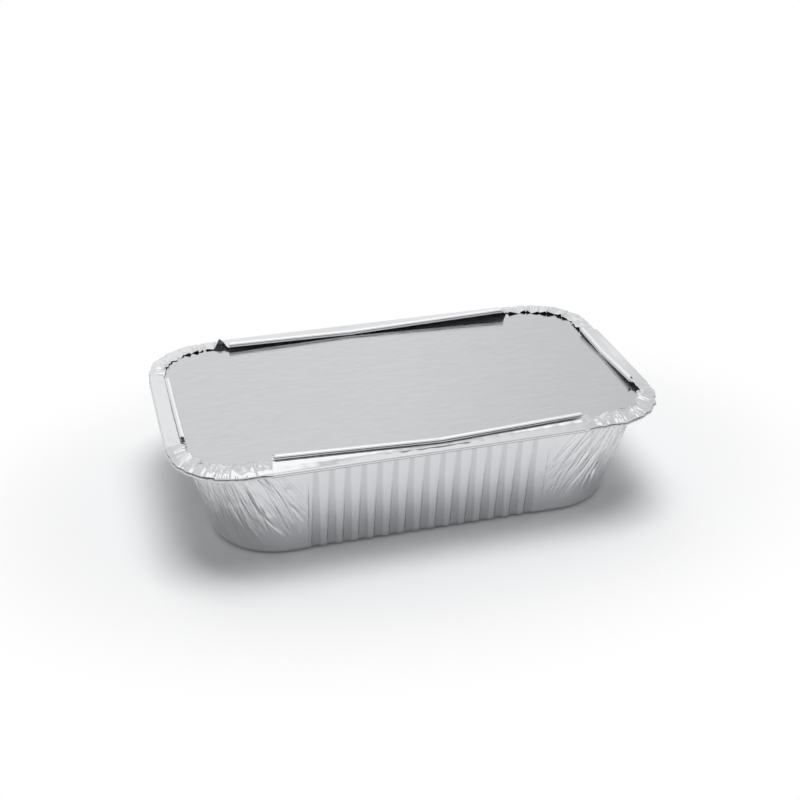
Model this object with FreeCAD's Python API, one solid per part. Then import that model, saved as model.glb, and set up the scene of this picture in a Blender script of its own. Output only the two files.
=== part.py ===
import FreeCAD, Part
import math
import os

# Foil food container closed with a board lid. Millimetres, +Z up.
# The origin lies on the table under the middle of the base, +X runs along the long side
# and -Y is the front.
# Two pieces: the tray, pressed and folded from one thin sheet of foil, and the flat lid,
# which lies on the tray's ledge and is held down by the rim folded over it.

# Tray, outside
rim_length = 203.0
rim_width = 122.2
rim_corner_radius = 28.2
ledge_height = 44.3
ledge_width = 6.9
ledge_flat_width = 2.9
wall_top_radius = 23.3
end_wall_taper = 10.8
side_wall_taper = 6.8
base_corner_radius = 27.0
foil = 0.08

# Base: a flat foot all round and a raised panel inside it
heel_radius = 2.0
foot_width = 5.0
panel_slope_width = 2.0
panel_rise = 1.0

# Flutes: grooves in the straight walls, wider and deeper towards the base
flute_pitch = 6.39
flute_width_top = 1.2
flute_width_bottom = 2.9
flute_depth_top = 0.25
flute_depth_bottom = 0.9
flute_flank_width = 0.85
flute_field_shift = -2.1
plain_end_of_side = 8.0
plain_end_of_end = 3.5

# Gathers in each corner of the wall, fading towards the base
gathers = 12
gather_depth = 0.8
gather_drift = 6.0

# Folded rim and its curled bead
fold_height = 1.8
bead_diameter = 2.3
bead_wrap = 290.0

# For each side, going anticlockwise: width of the flap where the bead is lowest and at both
# bead ends, plain stretch before and after the bead, rise of the bead at both ends, and
# where along the side it is lowest
flap_width_low = {"front": 6.0, "right": 8.0, "back": 8.9, "left": 7.8}
flap_width_end = {"front": 6.7, "right": 8.0, "back": 9.3, "left": 7.8}
bead_margins = {"front": (9.7, 12.0), "right": (3.2, 9.0), "back": (7.9, 9.5), "left": (7.6, 4.1)}
bead_rises = {"front": (2.3, 2.0), "right": (1.3, 1.0), "back": (2.15, 1.1), "left": (0.9, 0.5)}
bead_low = {"front": 2.4, "right": 0.0, "back": 8.0, "left": 0.0}

# Crushed rim in the corners, and its rise towards the inner edge in the corner that ends
# each side
crush_width = 7.4
crush_height = 1.0
crush_push = 1.1
crush_start = 1.6
crush_folds = 18
corner_rise = {"front": 0.6, "right": 0.1, "back": 0.0, "left": 0.5}

# How far the outer fold droops in the corner that ends each side; it changes evenly along
# the sides
fold_droop = {"front": 0.6, "right": 0.0, "back": 0.0, "left": 1.2}

# Board lid
board = 0.6
lid_clearance = 0.5
lid_edge_clearance = 0.3
flap_gap = 0.05

# Number of facets in round stretches
nose_facets = 5
bead_facets = 12
side_facets = 4
end_facets = 2
lid_corner_facets = 12

# Worked out from the sizes above
wall_top_length = rim_length - 2 * ledge_width
wall_top_width = rim_width - 2 * ledge_width
base_length = wall_top_length - 2 * end_wall_taper
base_width = wall_top_width - 2 * side_wall_taper
lid_bottom = ledge_height + foil
lid_top = lid_bottom + board
nose_radius = (fold_height - foil) / 2
fold_top = ledge_height + foil / 2 + 2 * nose_radius
slope_inset = ledge_width - ledge_flat_width
bead_radius = (bead_diameter - foil) / 2
lid_inset = crush_push + nose_radius + foil + lid_clearance
flap_rest = lid_top + flap_gap + foil / 2

# The four sides in turn, anticlockwise from above: name, outward direction and way along
SIDES = (
    ("front", (0, -1), (1, 0)),
    ("right", (1, 0), (0, 1)),
    ("back", (0, 1), (-1, 0)),
    ("left", (-1, 0), (0, -1)),
)


def outline_point(length, width, radius, side, along, angle):
    """Point of a rounded rectangle in plan, and the outward direction there.

    On a straight side, angle is None and along is the distance from its middle. In the
    corner that ends the side, angle runs from 0 to 90 degrees.
    """
    name, out, way = SIDES[side]
    half_out = (width if out[0] == 0 else length) / 2
    half_way = (length if out[0] == 0 else width) / 2
    if angle is None:
        reach, course, turn = half_out, along, 0.0
    else:
        turn = math.radians(angle)
        reach = half_out - radius + radius * math.cos(turn)
        course = half_way - radius + radius * math.sin(turn)
    point = (out[0] * reach + way[0] * course, out[1] * reach + way[1] * course)
    normal = (
        out[0] * math.cos(turn) + way[0] * math.sin(turn),
        out[1] * math.cos(turn) + way[1] * math.sin(turn),
    )
    return point, normal


def straight_half(length, width, radius, side):
    """Half the straight stretch of one side of a rounded rectangle."""
    return (length if side % 2 == 0 else width) / 2 - radius


def gather_pattern(side):
    """Gathers of one corner: uneven angles with ridge and valley in turn, as (angle, depth)."""
    pattern = []
    for count in range(gathers):
        uneven = 0.22 * math.sin(2.4 * count + 1.7 * side)
        depth = gather_depth * (0.65 + 0.35 * math.sin(3.1 * count + 2.0 * side))
        pattern.append((90 * (count + 0.25 + uneven) / gathers, 0.0))
        pattern.append((90 * (count + 0.75 + uneven) / gathers, depth))
    return pattern


def flute_centres(side):
    """Middles of the grooves along one side, as many as its straight stretch holds."""
    plain = plain_end_of_side if side % 2 == 0 else plain_end_of_end
    room = 2 * straight_half(base_length, base_width, base_corner_radius, side) - 2 * plain
    count = max(int(room / flute_pitch), 0)
    shift = {0: flute_field_shift, 2: -flute_field_shift}.get(side, 0.0)
    return [(number - (count - 1) / 2) * flute_pitch + shift for number in range(count)]


def wall_stations():
    """Stations round the wall: groove corners on the sides, gathers in the corners.

    A groove corner is (side, "flute", centre, edge) with edge -2, -1, 1 or 2 for the outer
    and inner ends of its two flanks. A corner station is (side, "corner", angle, depth).
    """
    stations = []
    for side in range(4):
        for centre in flute_centres(side):
            for edge in (-2, -1, 1, 2):
                stations.append((side, "flute", centre, edge))
        stations.append((side, "corner", 0.0, 0.0))
        for angle, depth in gather_pattern(side):
            stations.append((side, "corner", angle, depth))
        stations.append((side, "corner", 90.0, 0.0))
    return stations


def blend(low, high, share):
    return low + (high - low) * share


def wall_point(station, height, inward, groove_share):
    """Point of the tray's outer skin at a height, moved inward by a distance."""
    share = height / ledge_height
    length = blend(base_length, wall_top_length, share) - 2 * inward
    width = blend(base_width, wall_top_width, share) - 2 * inward
    radius = blend(base_corner_radius, wall_top_radius, share) - inward
    side, kind, place, detail = station
    if kind == "flute":
        groove = blend(flute_depth_bottom, flute_depth_top, share) * groove_share
        half = blend(flute_width_bottom, flute_width_top, share) / 2
        flank = flute_flank_width * groove / flute_depth_bottom
        along = place + math.copysign(half + (flank if abs(detail) == 2 else 0.0), detail)
        sink = groove if abs(detail) == 1 else 0.0
        point, normal = outline_point(length, width, radius, side, along, None)
    else:
        sink = detail * share ** 1.5
        drift = 0.0
        if 0.0 < place < 90.0:
            drift = gather_drift * (1 - share) * math.sin(math.radians(2 * place))
        point, normal = outline_point(length, width, radius, side, 0.0, place + drift)
    return (point[0] - normal[0] * sink, point[1] - normal[1] * sink)


def vector(plan, height):
    return FreeCAD.Vector(plan[0], plan[1], height)


def polygon_face(points):
    return Part.Face(Part.makePolygon(points + points[:1]))


def ring_face(outer, inner):
    """Flat face between two closed outlines."""
    wires = [Part.makePolygon(outer + outer[:1]), Part.makePolygon(inner + inner[:1])]
    return Part.makeFace(wires, "Part::FaceMakerBullseye")


def triangles(a, b, c, d):
    """The two triangles of a facet with corners a, b, c, d in turn."""
    return [polygon_face([a, b, c]), polygon_face([a, c, d])]


def band(low, high):
    """Facets between two closed rings with the same number of points."""
    faces = []
    for index in range(len(low)):
        after = (index + 1) % len(low)
        faces += triangles(low[index], low[after], high[after], high[index])
    return faces


def wall_faces(stations, shift):
    """Wall of one skin: flat panels on the sides, gathered facets in the corners."""
    levels = [heel_radius + (ledge_height - heel_radius) * share for share in (0, 0.4, 0.72, 1)]
    rows = []
    for station in stations:
        heights = levels if station[1] == "corner" else (levels[0], levels[-1])
        rows.append([vector(wall_point(station, z, shift, 1.0), z + shift) for z in heights])
    faces = []
    for index, row in enumerate(rows):
        after = (index + 1) % len(rows)
        following = rows[after]
        if len(row) == len(following) == len(levels):
            for step in range(len(levels) - 1):
                faces += triangles(row[step], following[step], following[step + 1], row[step + 1])
        else:
            faces.append(polygon_face(following + row[::-1]))
    bottom = [row[0] for row in rows]
    top = [row[-1] for row in rows]
    return faces, bottom, top


def plain_ring(length, width, radius, facets, height):
    """Closed ring of points along a rounded rectangle."""
    ring = []
    for side in range(4):
        for step in range(facets + 1):
            plan, normal = outline_point(length, width, radius, side, 0.0, 90 * step / facets)
            ring.append(vector(plan, height))
    return ring


def base_faces(stations, bottom, shift):
    """Heel, flat foot and raised panel of one skin, below the ring of points bottom."""
    heel_out = 0.3 * heel_radius + shift
    heel_up = 0.3 * heel_radius
    heel = [vector(wall_point(s, 0.0, heel_out, 0.9), heel_up + shift) for s in stations]
    foot_out = heel_radius + shift
    foot = [vector(wall_point(s, 0.0, foot_out, 0.6), shift) for s in stations]
    rings = []
    for inward, height in (
        (heel_radius + foot_width, 0.0),
        (heel_radius + foot_width + panel_slope_width, panel_rise),
    ):
        rings.append(
            plain_ring(
                base_length - 2 * (inward + shift),
                base_width - 2 * (inward + shift),
                base_corner_radius - inward,
                6,
                height + shift,
            )
        )
    faces = band(heel, bottom) + band(foot, heel)
    faces.append(ring_face(foot, rings[0]))
    faces += band(rings[1], rings[0])
    faces.append(polygon_face(rings[1]))
    return faces


def droop_at(side, along):
    """Droop of the outer fold along a side, or in the corner that ends it if along is None."""
    before, after = (fold_droop[SIDES[number][0]] for number in (side - 1, side))
    straight = straight_half(rim_length, rim_width, rim_corner_radius, side)
    share = 1.0 if along is None else (along + straight) / (2 * straight)
    return blend(before, after, share)


def nose_profile(push, droop):
    """Mid-line of the rim from the flat of the ledge round the outer fold to its top.

    Points are (inset, height). Where the fold droops, the ledge slopes down to it.
    """
    centre = ledge_height + foil / 2 + nose_radius - droop
    profile = [(slope_inset, ledge_height + foil / 2)]
    for step in range(nose_facets + 1):
        turn = math.radians(-90 + 180 * step / nose_facets)
        inset = push + nose_radius * (1 - math.cos(turn))
        profile.append((inset, centre + nose_radius * math.sin(turn)))
    return profile


def flap_edge(side, along):
    """Width and rise of a flap at a place along its side, from the lowest place to the ends."""
    name = SIDES[side][0]
    first, last = bead_ends(side)
    low = bead_low[name]
    end, rise = (first, bead_rises[name][0]) if along < low else (last, bead_rises[name][1])
    share = (along - low) / (end - low)
    return blend(flap_width_low[name], flap_width_end[name], share), rise * share


def side_profile(side, along):
    """Mid-line across a straight flap and its curled bead.

    The flap clears the lid's edge and lies on the lid where the bead is lowest. It is a
    straight ramp up to the bead where that is higher than the fold.
    """
    width, rise = flap_edge(side, along)
    profile = nose_profile(0.0, droop_at(side, along))
    start, top = profile[-1]
    edge = flap_rest + rise
    first = (lid_inset - lid_edge_clearance - start) / (width - start)
    for share, sag in ((first, 0.5), (0.6, 1.0), (1.0, 1.0)):
        height = top + min(edge - top, 0.0) * sag + max(edge - top, 0.0) * share
        profile.append((blend(start, width, share), max(height, flap_rest)))
    middle = edge + bead_radius
    for step in range(1, bead_facets + 1):
        turn = math.radians(-90 + bead_wrap * step / bead_facets)
        inset = width + bead_radius * math.cos(turn)
        profile.append((inset, middle + bead_radius * math.sin(turn)))
    return profile


def crush_profile(side, step, droop):
    """Mid-line across the crushed rim at one fold of a corner, with uneven ridges."""
    ridge = step % 2
    uneven = 0.5 + 0.5 * math.sin(2.1 * step + 1.3 * side)
    push = crush_push * (ridge * 0.45 + 0.55 * uneven)
    swell = 0.15 + 0.5 * uneven if ridge else -0.7 * uneven
    width = crush_width * (0.95 + 0.09 * math.cos(3.7 * step + side))
    profile = nose_profile(push, droop)
    start, top = profile[-1]
    edge = max(fold_top + corner_rise[SIDES[side][0]] + crush_height * swell, flap_rest)
    first = (lid_inset - lid_edge_clearance - start) / (width - start)
    for share, bulge in ((first, 0.12), (0.6, 0.1), (1.0, 0.0)):
        height = blend(top, edge, share) + crush_height * bulge * (2 * ridge - 1)
        profile.append((blend(start, width, share), max(height, flap_rest)))
    return profile


def bead_ends(side):
    """First and last end of the bead along a side, a margin in from the corners."""
    straight = straight_half(rim_length, rim_width, rim_corner_radius, side)
    before, after = bead_margins[SIDES[side][0]]
    return before - straight, straight - after


def rim_stations():
    """Stations round the rim, each (side, along, angle, profile).

    Each bead is followed by a crushed station a little beyond its end, if there is room for
    it before the corner.
    """
    stations = []
    for side in range(4):
        facets = side_facets if side % 2 == 0 else end_facets
        straight = straight_half(rim_length, rim_width, rim_corner_radius, side)
        first, last = bead_ends(side)
        low = bead_low[SIDES[side][0]]
        places = [blend(first, low, step / facets) for step in range(facets)]
        places += [blend(low, last, step / facets) for step in range(facets + 1)]
        early, late = first - crush_start, last + crush_start
        if early > 0.5 - straight:
            before = crush_profile(side - 1, crush_folds + 1, droop_at(side, early))
            stations.append((side, early, None, before))
        for along in places:
            stations.append((side, along, None, side_profile(side, along)))
        if late < straight - 0.5:
            after = crush_profile(side, -1, droop_at(side, late))
            stations.append((side, late, None, after))
        for step in range(crush_folds + 1):
            angle = 90 * step / crush_folds
            folded = crush_profile(side, step, droop_at(side, None))
            stations.append((side, 0.0, angle, folded))
    return stations


def offset_profile(profile, distance):
    """Profile moved by a distance towards the inside of the fold, mitred at its corners.

    The stretch before its first point is taken as flat, because it is the ledge's flat.
    """
    moved = []
    directions = [(-1.0, 0.0)]
    for start, end in zip(profile, profile[1:]):
        step = (end[0] - start[0], end[1] - start[1])
        size = math.hypot(*step)
        directions.append((step[0] / size, step[1] / size))
    directions.append(directions[-1])
    for (inset, height), before, after in zip(profile, directions, directions[1:]):
        normal = (before[1] + after[1], -before[0] - after[0])
        scale = distance / (1 + before[0] * after[0] + before[1] * after[1])
        moved.append((inset + normal[0] * scale, height + normal[1] * scale))
    return moved


def rim_rows(distance):
    """Points of one skin of the rim, a row for each station."""
    rows = []
    for side, along, angle, profile in rim_stations():
        row = []
        for inset, height in offset_profile(profile, distance):
            plan, normal = outline_point(
                rim_length - 2 * inset,
                rim_width - 2 * inset,
                rim_corner_radius - inset,
                side,
                along,
                angle,
            )
            row.append(vector(plan, height))
        rows.append(row)
    return rows


def rim_faces(rows):
    """Facets of one skin of the rim between neighbouring rows."""
    faces = []
    for index, row in enumerate(rows):
        following = rows[(index + 1) % len(rows)]
        for step in range(min(len(row), len(following)) - 1):
            faces += triangles(row[step], following[step], following[step + 1], row[step + 1])
    return faces


def free_edge(rows):
    """The sheet's free edge: along the crushed corners and out round each bead's end."""
    edge = []
    for index, row in enumerate(rows):
        before = rows[index - 1]
        following = rows[(index + 1) % len(rows)]
        inner_end = min(len(before), len(row)) - 1
        outer_end = min(len(row), len(following)) - 1
        last = len(row) - 1
        if inner_end < last:
            edge += row[inner_end:last]
        edge.append(row[last])
        if outer_end < last:
            edge += row[outer_end:last][::-1]
    return edge


def foil_tray():
    """The tray as one closed solid: an outer skin, an inner skin and the free edge."""
    stations = wall_stations()
    faces = []
    edges = []
    for shift in (0.0, foil):
        wall, bottom, top = wall_faces(stations, shift)
        rows = rim_rows(shift - foil / 2)
        faces += wall
        faces += base_faces(stations, bottom, shift)
        faces.append(ring_face([row[0] for row in rows], top))
        faces += rim_faces(rows)
        edges.append(free_edge(rows))
    faces += band(edges[0], edges[1])
    solid = Part.Solid(Part.Shell(faces))
    if solid.Volume < 0:
        solid.reverse()
    return solid


def board_lid():
    """Flat card with round corners, lying on the ledge inside the fold."""
    outline = plain_ring(
        rim_length - 2 * lid_inset,
        rim_width - 2 * lid_inset,
        rim_corner_radius - lid_inset,
        lid_corner_facets,
        lid_bottom,
    )
    return polygon_face(outline).extrude(FreeCAD.Vector(0, 0, board))


os.makedirs("parts", exist_ok=True)
for node, shape in (("foil_tray", foil_tray()), ("board_lid", board_lid())):
    shape.exportStep("parts/" + node + ".step")
    print(node, shape.ShapeType, "valid", shape.isValid(), "volume", round(shape.Volume, 2))
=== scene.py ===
import math

import bpy
import numpy as np
from mathutils import Matrix, Vector


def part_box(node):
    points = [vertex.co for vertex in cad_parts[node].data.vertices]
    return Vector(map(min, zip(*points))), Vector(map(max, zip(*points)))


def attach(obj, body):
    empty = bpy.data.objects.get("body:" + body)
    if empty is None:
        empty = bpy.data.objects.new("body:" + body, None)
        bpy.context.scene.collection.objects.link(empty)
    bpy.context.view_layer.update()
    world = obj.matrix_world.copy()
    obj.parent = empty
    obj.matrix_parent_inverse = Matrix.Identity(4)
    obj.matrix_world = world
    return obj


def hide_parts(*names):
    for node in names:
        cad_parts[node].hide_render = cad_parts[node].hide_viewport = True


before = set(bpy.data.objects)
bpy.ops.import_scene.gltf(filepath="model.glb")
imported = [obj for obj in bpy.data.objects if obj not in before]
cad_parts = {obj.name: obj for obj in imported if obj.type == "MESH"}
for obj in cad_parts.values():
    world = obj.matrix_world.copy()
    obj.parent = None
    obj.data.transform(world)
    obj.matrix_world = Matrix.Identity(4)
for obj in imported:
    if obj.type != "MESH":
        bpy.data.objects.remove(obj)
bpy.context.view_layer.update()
TRAY_LOW, TRAY_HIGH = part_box("foil_tray")
LID_LOW, LID_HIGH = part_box("board_lid")

bl_info = {
    "name": "Foil food container",
    "version": (1, 0, 0),
    "blender": (4, 5, 0),
    "location": "3D View > Sidebar > Foil container",
    "description": "Dresses a pressed foil tray with a folded, beaded rim and its board lid",
    "category": "Object",
}

MM = 0.001
# Seeds of what is left to chance.
CREASE_SEED, WALL_WAVE_SEED = 11, 5
CRUSH_SEED, PLEAT_SEED, FACET_SEED, FLAP_SEED, BEAD_SEED = 31, 41, 91, 17, 71

# Sizes taken from the solid model, in millimetres.
FOIL = 0.08
RIM_LENGTH = (TRAY_HIGH[0] - TRAY_LOW[0]) / MM
RIM_WIDTH = (TRAY_HIGH[1] - TRAY_LOW[1]) / MM
LEDGE_HEIGHT = LID_LOW[2] / MM - FOIL
LID_TOP = LID_HIGH[2] / MM

# The four sides in turn, anticlockwise from above, front first: outward, then along.
OUTWARD = np.array([(0, -1), (1, 0), (0, 1), (-1, 0)], float)
ALONG = np.array([(1, 0), (0, 1), (-1, 0), (0, -1)], float)


def size_setting(name, description, size):
    """Length that a user can set, with its default in millimetres."""
    return bpy.props.FloatProperty(
        name=name, description=description, default=size * MM, unit="LENGTH")


def colour_setting(name, description, red, green, blue):
    """Colour that a user can set."""
    return bpy.props.FloatVectorProperty(
        name=name, description=description, subtype="COLOR", size=4, min=0.0, max=1.0,
        default=(red, green, blue, 1.0))


class TraySizes(bpy.types.PropertyGroup):
    """Sizes of the pressed tray."""

    ledge_width: size_setting("Ledge width", "Step between the wall and the folded edge", 6.9)
    corner_radius: size_setting(
        "Rim corner radius", "Radius of the folded edge in the corners", 28.24)
    wall_radius: size_setting("Wall corner radius", "Radius of the wall's top in the corners", 23.3)
    base_radius: size_setting("Base corner radius", "Radius of the base line in the corners", 27.0)
    end_taper: size_setting("End taper", "How far each end wall leans out from base to ledge", 10.8)
    side_taper: size_setting(
        "Side taper", "How far each side wall leans out from base to ledge", 6.8)
    heel_radius: size_setting("Heel radius", "Rounding between base and wall", 2.0)
    flute_pitch: size_setting("Flute pitch", "Spacing of the grooves in the walls", 6.39)
    flute_depth_top: size_setting("Flute depth at the top", "Groove depth under the ledge", 0.12)
    flute_depth_bottom: size_setting("Flute depth at the base", "Groove depth above the heel", 0.9)
    crease_depth: size_setting(
        "Crease depth", "Height of the gathered creases in the wall corners", 0.7)


class RimSizes(bpy.types.PropertyGroup):
    """Sizes of the folded rim and its bead."""

    fold_height: size_setting("Fold height", "Height of the rounded fold at the outer edge", 1.8)
    flap_width: size_setting("Flap width", "Width of the flap folded over the lid", 6.0)
    bead_diameter: size_setting("Bead diameter", "Outside diameter of the curled edge", 2.3)
    crush_width: size_setting("Crushed width", "Width of the crushed rim in the corners", 7.4)
    crush_height: size_setting("Crushed height", "Height of the folds in the crushed corners", 1.0)


class Finishes(bpy.types.PropertyGroup):
    """Colours of the foil and of the lid's face."""

    foil_colour: colour_setting(
        "Foil colour", "Colour of the bright rolled foil", 0.757, 0.765, 0.781)
    bead_colour: colour_setting(
        "Bead colour", "Colour of the polished foil of the curled bead", 0.905, 0.915, 0.934)
    lid_colour: colour_setting(
        "Lid colour", "Colour of the satin metal face of the lid", 0.596, 0.603, 0.616)
    floor_colour: colour_setting("Floor colour", "Colour of the table", 0.935, 0.94, 0.948)


# Layout round the tray

def blend(low, high, share):
    return low + (high - low) * share


def smooth(value):
    """Eases a value from 0 to 1."""
    value = np.clip(value, 0.0, 1.0)
    return value * value * (3.0 - 2.0 * value)


def tent(distance, half):
    """Peak of 1 that falls straight to 0 at half its width."""
    return np.clip(1.0 - np.abs(distance) / half, 0.0, 1.0)


def outline(length, width, radius, side, course, turn):
    """Rounded rectangle in plan and its outward direction.

    A column lies on a side, at a course from its middle, or in the corner that ends the
    side, where turn is its angle. The reach is half the width plus the corner's cosine, the
    course half the length plus the corner's sine.
    """
    even = side % 2 == 0
    half_out = np.where(even, width, length) / 2
    half_way = np.where(even, length, width) / 2
    corner = turn > 0.0
    reach = np.where(corner, half_out - radius + radius * np.cos(turn), half_out)
    way = np.where(corner, half_way - radius + radius * np.sin(turn), course)
    out, along = OUTWARD[side], ALONG[side]
    plan = reach[..., None] * out + way[..., None] * along
    normal = np.cos(turn)[..., None] * out + np.sin(turn)[..., None] * along
    return plan, normal


def corner_distance(plan):
    """Distance of each column along a closed ring from the middle of each corner.

    The ring's length is summed from point to point, and the difference to the corner's
    middle is wrapped into plus or minus half the way round.
    """
    steps = np.linalg.norm(np.roll(plan, -1, axis=0) - plan, axis=1)
    place = np.concatenate(([0.0], np.cumsum(steps)[:-1]))
    total = steps.sum()
    distances = []
    for sign_x, sign_y in ((1, -1), (1, 1), (-1, 1), (-1, -1)):
        middle = np.argmax(plan[:, 0] * sign_x + plan[:, 1] * sign_y)
        distances.append((place - place[middle] + total / 2) % total - total / 2)
    return np.array(distances)


def soft_waves(along, across, lengths, seed):
    """Sum of sines in chance directions with the given wave lengths, between -1 and 1."""
    chance = np.random.default_rng(seed)
    total = np.zeros(np.broadcast(along, across).shape)
    for length in lengths:
        angle, phase = chance.uniform(0, math.tau, 2)
        slide = along * math.cos(angle) + across * math.sin(angle)
        total += np.sin(slide * math.tau / length + phase)
    return total / len(lengths)


def folded(along, across, lengths, seed):
    """Sum of triangle waves in chance directions: flat facets that meet in sharp creases."""
    chance = np.random.default_rng(seed)
    total = np.zeros(np.broadcast(along, across).shape)
    for length in lengths:
        angle, phase = chance.uniform(0, math.pi), chance.uniform(0, 1)
        slide = (along * math.cos(angle) + across * math.sin(angle)) / length + phase
        total += 4.0 * np.abs(slide - np.floor(slide + 0.5)) - 1.0
    return total / len(lengths)


def grid_mesh(name, points, wrap=False, pole=False, masks=None):
    """Mesh of a grid of points, rows by columns, with quads between neighbours.

    wrap joins the last column to the first, and pole closes the first row to a point.
    masks are values for each point, kept as attributes.
    """
    if not np.isfinite(points).all():
        raise ValueError(name + " has points that are not numbers")
    rows, columns = points.shape[:2]
    number = np.arange(rows * columns).reshape(rows, columns)
    right = np.roll(number, -1, axis=1) if wrap else number[:, 1:]
    left = number if wrap else number[:, :-1]
    quads = np.stack((left[:-1], right[:-1], right[1:], left[1:]), axis=-1).reshape(-1, 4)
    flat = points.reshape(-1, 3)
    corners, starts = quads.ravel(), np.arange(len(quads)) * 4
    if pole:
        flat = np.vstack((flat, points[0].mean(axis=0)))
        fan = np.stack((right[0], left[0], np.full(columns, rows * columns)), axis=-1)
        starts = np.concatenate((starts, len(corners) + np.arange(columns) * 3))
        corners = np.concatenate((corners, fan.ravel()))
    mesh = bpy.data.meshes.new(name)
    mesh.vertices.add(len(flat))
    mesh.vertices.foreach_set("co", (flat * MM).astype(np.float32).ravel())
    mesh.loops.add(len(corners))
    mesh.loops.foreach_set("vertex_index", corners.astype(np.int32))
    mesh.polygons.add(len(starts))
    mesh.polygons.foreach_set("loop_start", starts.astype(np.int32))
    mesh.update(calc_edges=True)
    if mesh.validate():
        raise RuntimeError(name + " is not a sound mesh")
    mesh.shade_smooth()
    for key, values in (masks or {}).items():
        layer = mesh.attributes.new(key, "FLOAT", "POINT")
        full = np.zeros(len(flat), np.float32)
        full[:values.size] = values.ravel()
        layer.data.foreach_set("value", full)
    return mesh


def add_object(name, data):
    thing = bpy.data.objects.new(name, data)
    bpy.context.scene.collection.objects.link(thing)
    return thing


def add_piece(name, mesh, material):
    """Links a finished mesh as a piece of the foil tray, which rides on its body."""
    mesh.materials.append(material)
    piece = add_object(name, mesh)
    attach(piece, "root")
    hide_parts("foil_tray")
    return piece


def thicken(piece, inside=None):
    """Gives a sheet the foil's thickness. Its new face can have a material of its own."""
    wall = piece.modifiers.new("Foil", "SOLIDIFY")
    wall.thickness = FOIL * MM
    wall.offset = -1.0
    wall.use_rim = True
    if inside:
        piece.data.materials.append(inside)
        wall.material_offset = 1


# Walls and base

# Grooves of each side, and how far those of the front and the back are moved along it.
FLUTES = (15, 5, 15, 5)
FLUTE_SHIFT = -2.1
FLUTE_WIDTH_TOP = 1.2
FLUTE_WIDTH_BOTTOM = 2.9
# Width of a groove's flank, and how much it grows with the groove's depth.
FLUTE_FLANK = (0.6, 0.3)
FOOT_WIDTH = 5.0
# Share of the grooves' depth that is left where the foot meets the heel.
FOOT_GROOVE = 0.6
PANEL_SLOPE = 2.0
PANEL_RISE = 1.0
# Creases of a gathered corner: where they start along the ledge, from the middle of each
# corner, and below the ledge, how many they are, how long, and how wide their two sides are.
CREASE_SPREAD = ((-15.0, 27.0), (-27.0, 27.0), (-27.0, 27.0), (-27.0, 27.0))
CREASE_BEGINS = (-2.0, -2.0, 5.0, 14.0, 22.0)
CREASE_COUNT = 62
CREASE_REACH = (10.0, 44.0)
CREASE_STEEP = (0.3, 0.5)
CREASE_EASY = (0.8, 2.6)
# The lean of the creases, the distance from the corner's middle at which it is reached, and
# those at which they end and within which they are worked out.
CREASE_LEAN = 0.8
LEAN_SPAN = 25.0
CREASE_SPAN = 27.0
CREASE_FIELD = 40.0
# The fine wrinkles between them end at a distance, fade out over a width before it, and lose
# a share of their strength over a drop below the ledge.
WRINKLE_SPAN = 30.0
WRINKLE_FADE = 12.0
WRINKLE_LOSS = 0.6
WRINKLE_DROP = 44.0
# Height and lengths of the shallow waves all round the walls.
WALL_WAVE = 0.035
WALL_WAVE_LENGTHS = (9, 13, 17, 23, 31)
# Steps of the grid: the panel's slope, the heel's turns in degrees, the wall, the plain
# stretches of the sides and the ends, and the corners.
PANEL_STEPS = 4
HEEL_TURNS = (22, 45, 67, 90)
WALL_STEPS = 53
PLAIN_STEPS = (46, 26)
CORNER_STEPS = 152


def wall_columns(pitch):
    """Columns round the wall, as arrays: side, groove middle and three shares, plain share.

    Over the grooves a column's place is the middle plus half the groove, the flank and the
    land, each times its share. Beyond the last groove it slides from the end of the field
    to the corner by its plain share. In a corner its last value is the angle.
    """
    half = [(s, 0.0, 0.0) for s in (0.0, 0.5, 0.9)]
    half += [(1.0, s, 0.0) for s in (0.0, 0.35, 0.7, 1.0)]
    half += [(1.0, 1.0, s) for s in (0.5, 1.0)]
    columns = []
    for side, count in enumerate(FLUTES):
        shift = {0: FLUTE_SHIFT, 2: -FLUTE_SHIFT}.get(side, 0.0)
        ends = [sign * count * pitch / 2 + shift for sign in (-1, 1)]
        plain = np.linspace(0.0, 1.0, PLAIN_STEPS[side % 2])[1:]
        for share in plain[::-1]:
            columns.append((side, ends[0], -1, 0, 0, 0, share, 0.0))
        for number in range(count):
            middle = (number - (count - 1) / 2) * pitch + shift
            for shares in half[::-1]:
                columns.append((side, middle, -1, *shares, 0.0, 0.0))
            for shares in half[1:-1]:
                columns.append((side, middle, 1, *shares, 0.0, 0.0))
        # Any share above 0 makes a column plain, so the first one is all but 0.
        for share in (1e-6, *plain):
            columns.append((side, ends[1], 1, 0, 0, 0, share, 0.0))
        for turn in np.linspace(0.0, math.pi / 2, CORNER_STEPS)[1:-1]:
            columns.append((side, 0.0, 1, 0, 0, 0, 0.0, turn))
    return np.array(columns).T


def wall_rows(heel):
    """Rows from the base panel out to the ledge: height, distance inward, share of groove.

    They go down the panel's slope, across the foot, round the heel and up the wall.
    """
    rows = []
    for step in np.linspace(0.0, 1.0, PANEL_STEPS):
        inward = heel + FOOT_WIDTH + PANEL_SLOPE - PANEL_SLOPE * step
        rows.append((PANEL_RISE * (1.0 - smooth(step)), inward, 0.0))
    for step in (0.5, 1.0):
        rows.append((0.0, heel + FOOT_WIDTH * (1.0 - step), FOOT_GROOVE * step ** 3))
    for turn in np.radians(HEEL_TURNS):
        groove = blend(FOOT_GROOVE, 1.0, turn / (math.pi / 2))
        rows.append((heel * (1.0 - math.cos(turn)), heel * (1.0 - math.sin(turn)), groove))
    for step in np.linspace(0.0, 1.0, WALL_STEPS)[1:]:
        rows.append((blend(heel, LEDGE_HEIGHT, step), 0.0, 1.0))
    return np.array(rows).T[..., None]


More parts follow.
